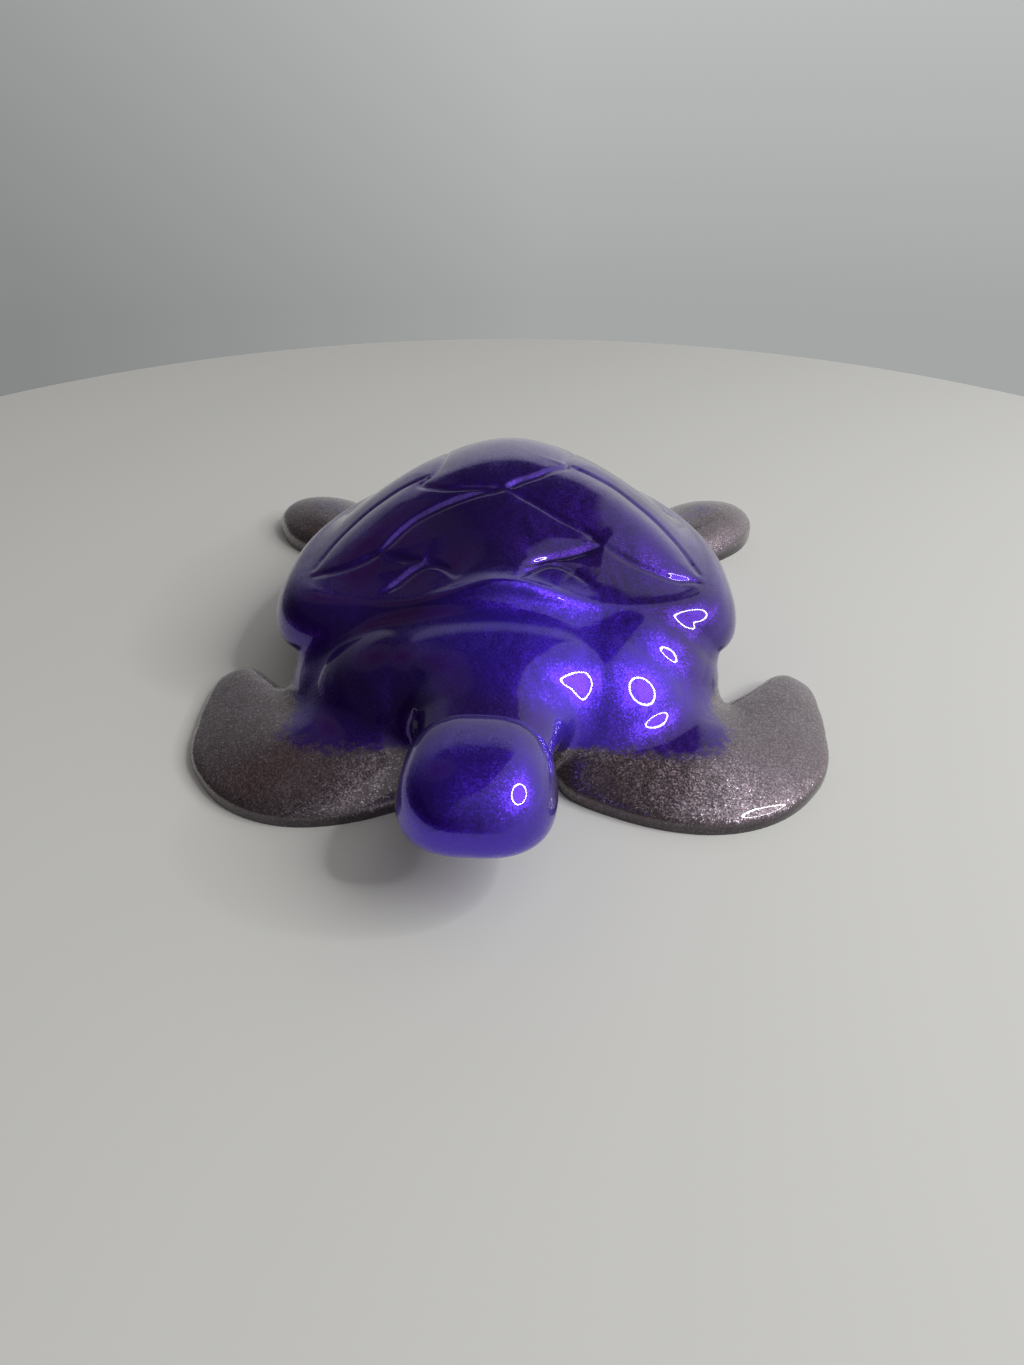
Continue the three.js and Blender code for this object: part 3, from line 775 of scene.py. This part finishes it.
class Tree:
    """A node tree of a material or the world."""

    def __init__(self, holder):
        holder.use_nodes = True
        self.tree = holder.node_tree
        self.tree.nodes.clear()

    def node(self, kind, settings, inputs, output=0):
        """Adds a node with its settings, then the values or links of its sockets."""
        made = self.tree.nodes.new(kind)
        for name, value in settings.items():
            setattr(made, name, value)
        for name, value in inputs.items():
            if isinstance(value, Wire):
                self.tree.links.new(value.socket, made.inputs[name])
            elif isinstance(value, tuple) and made.inputs[name].type == "RGBA":
                made.inputs[name].default_value = (*value, 1.0)
            else:
                made.inputs[name].default_value = value
        return Wire(self, made.outputs[output]) if made.outputs else None

    def mix(self, mask, first, second):
        """A colour between two, by a mask."""
        settings = {"data_type": "RGBA"}
        return self.node("ShaderNodeMix", settings, {0: mask, 6: first, 7: second}, 2)

    def vector(self, operation, first, second):
        """Vector Math of two vectors, or of a vector and a scale."""
        inputs = {0: first, (3 if operation == "SCALE" else 1): second}
        return self.node("ShaderNodeVectorMath", {"operation": operation}, inputs)

    def parts(self, vector):
        """The three parts of a vector."""
        made = self.node("ShaderNodeSeparateXYZ", {}, {0: vector})
        outputs = made.socket.node.outputs
        return [Wire(self, outputs[i]) for i in range(3)]

    def noise(self, vector, scale, detail=2.0, output=0):
        """Soft noise of a given number of features to a unit."""
        inputs = {"Vector": vector, "Scale": scale, "Detail": detail}
        return self.node("ShaderNodeTexNoise", {}, inputs, output)

    def cells(self, vector, scale):
        """Random cells of a given number to a unit, each with its own colour."""
        inputs = {"Vector": vector, "Scale": scale}
        return self.node("ShaderNodeTexVoronoi", {}, inputs, "Color")


def resin(slot):
    """The pearl resin of both pours, which meet at the fill level in a thin speckled band."""
    name = slot.replace("resin", "pearl_resin")
    if name in bpy.data.materials:
        return bpy.data.materials[name]
    settings = bpy.context.scene.turtle_resin
    violet, glow = tuple(settings.violet), tuple(settings.violet_glow)
    deep = tuple(settings.violet_deep)
    mauve, mauve_deep = tuple(settings.mauve), tuple(settings.mauve_deep)
    material = bpy.data.materials.new(name)
    nodes = Tree(material)
    place = nodes.node("ShaderNodeTexCoord", {}, {}, "Object")
    place = nodes.vector("SCALE", place, 1 / MM)
    x, y, z = nodes.parts(place)

    # Pearl clouds and streaks, drawn out by a slow warp as poured resin is
    warp = nodes.vector("SCALE", nodes.noise(place, 0.045, 1.0, output=1), 22.0)
    warped = nodes.vector("ADD", place, warp)
    cloud = ((nodes.noise(warped, 0.05, 3.0) - 0.5) * 2.4 + 0.5).clamped()
    drawn = nodes.vector("MULTIPLY", warped, (1.0, 0.3, 0.6))
    streak = nodes.noise(drawn, 0.55, 4.0, output=1)
    streak = nodes.vector("SUBTRACT", streak, (0.5, 0.5, 0.5))

    # Mica flakes, five or six to a millimetre, each at its own tilt
    grain = nodes.cells(place, 5.5)
    grain_x, grain_y, grain_z = nodes.parts(grain)

    # Upper pour, with painted sheen by the left shoulder, where the lamp's highlights fall, and a
    # painted glow in the head
    upper = nodes.mix(cloud * 0.55, violet, glow)
    upper = nodes.mix((grain_z - 0.55).clamped() * 0.6, upper, glow)
    upper = nodes.mix((0.45 - cloud).clamped(), upper, deep)
    shoulder = ((x - 6) / 19) ** 2 + ((y + 23) / 12) ** 2
    head = (x / 15) ** 2 + ((y + 58) / 10) ** 2
    painted_sheen_mask = ((1.3 - shoulder) / 1.2).clamped().largest((1.3 - head).clamped() * 0.45)
    upper = nodes.mix((painted_sheen_mask * (0.55 + 0.6 * cloud)).clamped(), upper, tuple(settings.violet_painted_sheen))

    # Lower pour, with painted shade: a dark line along its foot, where shade falls under its edge
    lower = nodes.mix(cloud * 0.8, mauve, mauve_deep)
    lower = nodes.mix((grain_z - 0.6).clamped() * 0.8, lower, tuple(settings.glitter))
    foot = (1 - (z - 1.0) / 0.8).clamped()
    lower = nodes.mix(foot * 0.7, lower, (0.02, 0.014, 0.018))

    # The edge between the pours is uneven, and a little lower in front
    edge = nodes.noise(place, 0.8, 3.0)
    height = z - FILL_LEVEL + 0.8 * (0.5 - y / 10).clamped()
    above = ((height + (edge - 0.5) * 1.4 + (grain_x - 0.5) * 0.5) / 0.6 + 0.5).clamped()
    base = nodes.mix(above, lower, upper)

    # The flakes and streaks tilt the pearl's surface, and the brightest flakes are the smoothest
    flake = ((grain_z - 0.8) * 5).clamped() * (1 - above)
    tilt = nodes.vector("SUBTRACT", grain, (0.5, 0.5, 0.5))
    normal = nodes.node("ShaderNodeNewGeometry", {}, {}, "Normal")
    normal = nodes.vector("ADD", normal, nodes.vector("SCALE", tilt, 0.42 - 0.2 * above))
    normal = nodes.vector("ADD", normal, nodes.vector("SCALE", streak, 0.28))
    normal = nodes.vector("NORMALIZE", normal, (0.0, 0.0, 0.0))
    inputs = {
        "Base Color": base,
        "Metallic": 0.9,
        "Roughness": 0.38 - 0.08 * above + 0.1 * grain_y - 0.27 * flake,
        "Normal": normal,
        "Coat Weight": settings.gloss,
        "Coat Roughness": 0.025,
        "Coat IOR": 1.5,
    }
    shader = nodes.node("ShaderNodeBsdfPrincipled", {}, inputs)
    nodes.node("ShaderNodeOutputMaterial", {}, {"Surface": shader})
    return material


def table_material():
    """Plain pale matt table."""
    settings = bpy.context.scene.turtle_stage
    material = bpy.data.materials.new("pale_table")
    nodes = Tree(material)
    inputs = {"Base Color": tuple(settings.table), "Roughness": 0.9, "Specular IOR Level": 0.2}
    shader = nodes.node("ShaderNodeBsdfPrincipled", {}, inputs)
    nodes.node("ShaderNodeOutputMaterial", {}, {"Surface": shader})
    return material


class TURTLE_OT_casting(bpy.types.Operator):
    """Makes the whole casting in one smooth form, with its scutes"""

    bl_idname = "turtle.casting"
    bl_label = "Casting"

    def execute(self, context):
        form = context.scene.turtle_form
        joined = bmesh.new()
        meshes = [
            shaped_sphere(240, 160, partial(shell_points, growth=0.0)),
            shaped_sphere(200, 100, partial(torso_points, growth=0.0)),
            shaped_sphere(96, 64, neck_points),
            shaped_sphere(120, 80, head_points),
            shaped_sphere(96, 64, bridge_points),
        ]
        for side, reach in FRONT_REACH.items():
            meshes.append(shaped_sphere(96, 64, partial(shoulder_points, side=side)))
            front = [(x * reach, y, half, height) for x, y, half, height in FRONT_FLIPPER]
            blades = ((front, FRONT_CREST, FRONT_FULLNESS), (REAR_FLIPPER, 0.0, 1.0))
            for stations, crest, fullness in blades:
                place = partial(
                    blade_points, stations=stations, side=side, crest=crest, fullness=fullness
                )
                meshes.append(shaped_sphere(96, 160, place, mirrored=side > 0))
        back = TORSO_Y + TORSO_BACK
        tail = [
            (0, back - 4.0, TAIL_HALF_WIDTH, TAIL_HEIGHT),
            (0, back + 4.5, TAIL_HALF_WIDTH, TAIL_HEIGHT),
            (0, back + 13.3, TAIL_HALF_WIDTH * 0.45, TAIL_HEIGHT * 0.55),
        ]
        place = partial(blade_points, stations=tail, side=1, crest=0.0, fullness=1.0)
        meshes.append(shaped_sphere(64, 64, place, mirrored=True))
        for mesh in meshes:
            joined.from_mesh(mesh)
        mesh = finished(joined, "forms")
        mesh = modified(mesh, "REMESH", {"mode": "VOXEL", "voxel_size": form.cell})
        set_coordinates(mesh, smoothed(mesh, SMOOTHING_BEFORE))
        for most, more in FILLETS:
            fill_creases(mesh, form.fillet_steps, most, more)
        set_coordinates(mesh, smoothed(mesh, SMOOTHING_AFTER))
        press_scutes(mesh, form)
        keep_normals(mesh)
        mesh.materials.clear()
        mesh.materials.append(named_material(OUTER))
        mesh.name = CASTING
        print("casting", len(mesh.polygons), "faces")
        return {"FINISHED"}


def shell_cutter():
    """The carapace's form, a little larger."""
    return shaped_sphere(160, 120, partial(shell_points, growth=SHELL_GROWTH))


def torso_cutter():
    """The torso's form, a little larger."""
    return shaped_sphere(160, 100, partial(torso_points, growth=TORSO_GROWTH))


def neck_space():
    """A box round the neck alone."""
    low = (-NECK_SPACE_HALF_WIDTH, NECK_FRONT_Y, 0)
    return box_mesh(low, (NECK_SPACE_HALF_WIDTH, NECK_BACK_Y, FAR))


def head_space():
    """A box round everything in front of the neck."""
    return box_mesh((-FAR, -FAR, 0), (FAR, NECK_FRONT_Y, FAR))


def upper_steps():
    """Cuts that leave the violet pour below the carapace."""
    above = box_mesh((-FAR, -FAR, FILL_LEVEL), (FAR, FAR, FAR))
    return [("INTERSECT", above), ("DIFFERENCE", shell_cutter())]


def lower_steps():
    """Cuts that leave the mauve pour."""
    return [("INTERSECT", box_mesh((-FAR, -FAR, 0), (FAR, FAR, FILL_LEVEL)))]


class TURTLE_OT_carapace(bpy.types.Operator):
    """Cuts the domed top shell from the casting"""

    bl_idname = "turtle.carapace"
    bl_label = "Carapace"

    def execute(self, context):
        steps = [("INTERSECT", shell_cutter())]
        cast_piece("carapace_casting", steps, "violet_resin", "carapace")
        return {"FINISHED"}


class TURTLE_OT_torso(bpy.types.Operator):
    """Cuts the violet body and the mauve belly from the casting"""

    bl_idname = "turtle.torso"
    bl_label = "Body and belly"

    def execute(self, context):
        steps = upper_steps()
        steps += [("DIFFERENCE", neck_space()), ("DIFFERENCE", head_space())]
        cast_piece("body_casting", steps, "violet_resin", "body")
        steps = lower_steps() + [("INTERSECT", torso_cutter())]
        cast_piece("belly_casting", steps, "mauve_resin", "belly")
        return {"FINISHED"}


class TURTLE_OT_head(bpy.types.Operator):
    """Cuts the neck and the head from the casting"""

    bl_idname = "turtle.head"
    bl_label = "Neck and head"

    def execute(self, context):
        steps = upper_steps() + [("INTERSECT", neck_space())]
        cast_piece("neck_casting", steps, "violet_resin", "neck")
        steps = upper_steps() + [("INTERSECT", head_space())]
        cast_piece("head_casting", steps, "violet_resin", "head")
        return {"FINISHED"}


class TURTLE_OT_flippers(bpy.types.Operator):
    """Cuts the four flippers and the tail from the casting"""

    bl_idname = "turtle.flippers"
    bl_label = "Flippers and tail"

    def execute(self, context):
        steps = lower_steps() + [("DIFFERENCE", torso_cutter())]
        half_tail = TAIL_HALF_WIDTH + 1.5
        spaces = {
            "front_left_flipper": ((0, -FAR), (FAR, TORSO_Y)),
            "front_right_flipper": ((-FAR, -FAR), (0, TORSO_Y)),
            "rear_left_flipper": ((half_tail, TORSO_Y), (FAR, FAR)),
            "rear_right_flipper": ((-FAR, TORSO_Y), (-half_tail, FAR)),
            "tail": ((-half_tail, TORSO_Y), (half_tail, FAR)),
        }
        for node, (low, high) in spaces.items():
            space = box_mesh((*low, -1), (*high, FAR))
            cast_piece(f"{node}_casting", steps + [("INTERSECT", space)], "mauve_resin", node)
        return {"FINISHED"}


class TURTLE_OT_stage(bpy.types.Operator):
    """Makes the round pale table, the soft tent of light, the ring lamp and the camera"""

    bl_idname = "turtle.stage"
    bl_label = "Stage"

    def execute(self, context):
        stage = context.scene.turtle_stage
        self.make_table(context, stage)
        self.make_world(context, stage)
        self.make_lamp(context, stage)
        self.make_camera(context)
        context.scene.view_settings.view_transform = "Standard"
        return {"FINISHED"}

    def make_table(self, context, stage):
        """A round table with a rounded rim, whose middle lies behind the turtle's."""
        form = bmesh.new()
        thickness = 14 * MM
        middle = 27 * MM
        radius = stage.table_radius
        bmesh.ops.create_cone(
            form, cap_ends=True, segments=256, radius1=radius, radius2=radius, depth=thickness
        )
        rim = [e for e in form.edges if all(v.co.z > 0 for v in e.verts)]
        bmesh.ops.bevel(
            form, geom=rim, offset=3 * MM, segments=6, profile=0.5, affect="EDGES", material=-1
        )
        bmesh.ops.translate(form, vec=(0, middle, -thickness / 2), verts=form.verts)
        mesh = finished(form, "table")
        mesh.polygons.foreach_set("use_smooth", [True] * len(mesh.polygons))
        mesh.set_sharp_from_angle(angle=math.radians(30))
        mesh.materials.append(table_material())
        table = bpy.data.objects.new("table", mesh)
        context.scene.collection.objects.link(table)

    def make_world(self, context, stage):
        """A pale wall under a dark ceiling, and the backdrop that the camera sees."""
        world = bpy.data.worlds.new("light_tent")
        context.scene.world = world
        nodes = Tree(world)
        x, y, z = nodes.parts(nodes.node("ShaderNodeTexCoord", {}, {}, "Generated"))
        right = (0 - x).clamped()
        front = (0 - y).clamped()

        # The wall is high on the turtle's left, lower behind, and dark in front and on its right
        left_rise = (x - 0.6 * y).largest(-0.06)
        top = 0.66 + 0.19 * y.largest(-0.8) + 3.1 * left_rise
        wall = ((top - z) / 0.14 + 0.5).clamped()
        side = (0.55 + 0.3 * x.largest(0.0) - 0.55 * right - 0.35 * front).largest(0.03)

        # Brown patches, one high and one low on the turtle's right
        high = (1 - ((x + 0.48) ** 2 + (y - 0.28) ** 2) / 0.1).clamped() * (z * 4).clamped()
        low = ((0 - x) * 1.2 - y * 0.7 - 0.55).clamped() * 1.4 * wall
        tint = nodes.mix(low.clamped().largest(high), (1.0, 1.0, 1.0), (0.42, 0.16, 0.09))
        light = side * wall + 0.05 * (1 - wall) + 0.32 * high
        matt = nodes.node("ShaderNodeLightPath", {}, {}, "Is Diffuse Ray")
        light = light + matt * stage.table_light

        # The backdrop is darker low down and on the turtle's right
        seen = nodes.node("ShaderNodeLightPath", {}, {}, "Is Camera Ray")
        rise = (z * 4 + 0.75).clamped()
        shade = 1 - 0.36 * (right * 2.2).clamped()
        backdrop = nodes.mix(rise, (0.37, 0.385, 0.38), tuple(stage.backdrop))
        lit = nodes.node("ShaderNodeBackground", {}, {"Color": tint, "Strength": light})
        plain = nodes.node("ShaderNodeBackground", {}, {"Color": backdrop, "Strength": shade})
        both = nodes.node("ShaderNodeMixShader", {}, {0: seen, 1: lit, 2: plain})
        nodes.node("ShaderNodeOutputWorld", {}, {"Surface": both})

    def make_lamp(self, context, stage):
        """A ring lamp of small straight lamps, high on the turtle's left."""
        count = 16
        watts = 1.6
        band = 18 * MM
        target = Vector((6, -30, 10)) * MM
        out = Vector((0.71, -0.2, 0.68)).normalized()
        side = out.cross(Vector((0, 0, 1))).normalized()
        up = side.cross(out)
        centre = target + out * stage.lamp_distance
        segment = 2 * stage.lamp_radius * math.tan(math.pi / count)
        for index in range(count):
            turn = 2 * math.pi * index / count
            radial = side * math.cos(turn) + up * math.sin(turn)
            tangent = up * math.cos(turn) - side * math.sin(turn)
            data = bpy.data.lights.new("ring_lamp", "AREA")
            data.shape = "RECTANGLE"
            data.size = segment
            data.size_y = band
            data.energy = watts / count
            lamp = bpy.data.objects.new("ring_lamp", data)
            turn_matrix = Matrix((tangent, out.cross(tangent), out)).transposed().to_4x4()
            place = Matrix.Translation(centre + radial * stage.lamp_radius)
            lamp.matrix_world = place @ turn_matrix
            context.scene.collection.objects.link(lamp)

    def make_camera(self, context):
        """The photograph's view: a phone's wide lens, close and from above the head."""
        data = bpy.data.cameras.new("camera")
        data.sensor_width = 36.0
        data.lens = 24.98
        data.clip_start = 0.005
        data.clip_end = 10.0
        camera = bpy.data.objects.new("camera", data)
        camera.location = (4.7 * MM, -136.4 * MM, 83.0 * MM)
        camera.rotation_euler = (math.radians(90 - 32.8), 0, math.radians(1.6))
        context.scene.collection.objects.link(camera)
        context.scene.camera = camera


class TURTLE_PT_panel(bpy.types.Panel):
    """Sizes, colours and makers of the turtle"""

    bl_idname = "TURTLE_PT_panel"
    bl_label = "Pearl resin sea turtle"
    bl_space_type = "VIEW_3D"
    bl_region_type = "UI"
    bl_category = "Turtle"

    def draw(self, context):
        for group in ("turtle_form", "turtle_resin", "turtle_stage"):
            settings = getattr(context.scene, group)
            column = self.layout.column(align=True)
            for name in settings.__annotations__:
                column.prop(settings, name)
        for maker in MAKERS:
            self.layout.operator(maker.bl_idname)


MAKERS = (
    TURTLE_OT_casting,
    TURTLE_OT_carapace,
    TURTLE_OT_torso,
    TURTLE_OT_head,
    TURTLE_OT_flippers,
    TURTLE_OT_stage,
)
GROUPS = {
    "turtle_form": TurtleForm,
    "turtle_resin": TurtleResin,
    "turtle_stage": TurtleStage,
}


def register():
    for name, group in GROUPS.items():
        bpy.utils.register_class(group)
        setattr(bpy.types.Scene, name, bpy.props.PointerProperty(type=group))
    for made in (*MAKERS, TURTLE_PT_panel):
        bpy.utils.register_class(made)


def unregister():
    for made in (TURTLE_PT_panel, *reversed(MAKERS)):
        bpy.utils.unregister_class(made)
    for name, group in GROUPS.items():
        delattr(bpy.types.Scene, name)
        bpy.utils.unregister_class(group)


def main():
    """Makes the whole scene."""
    register()
    bpy.ops.turtle.casting()
    bpy.ops.turtle.carapace()
    bpy.ops.turtle.torso()
    bpy.ops.turtle.head()
    bpy.ops.turtle.flippers()
    bpy.ops.turtle.stage()


if __name__ == "__main__":
    main()
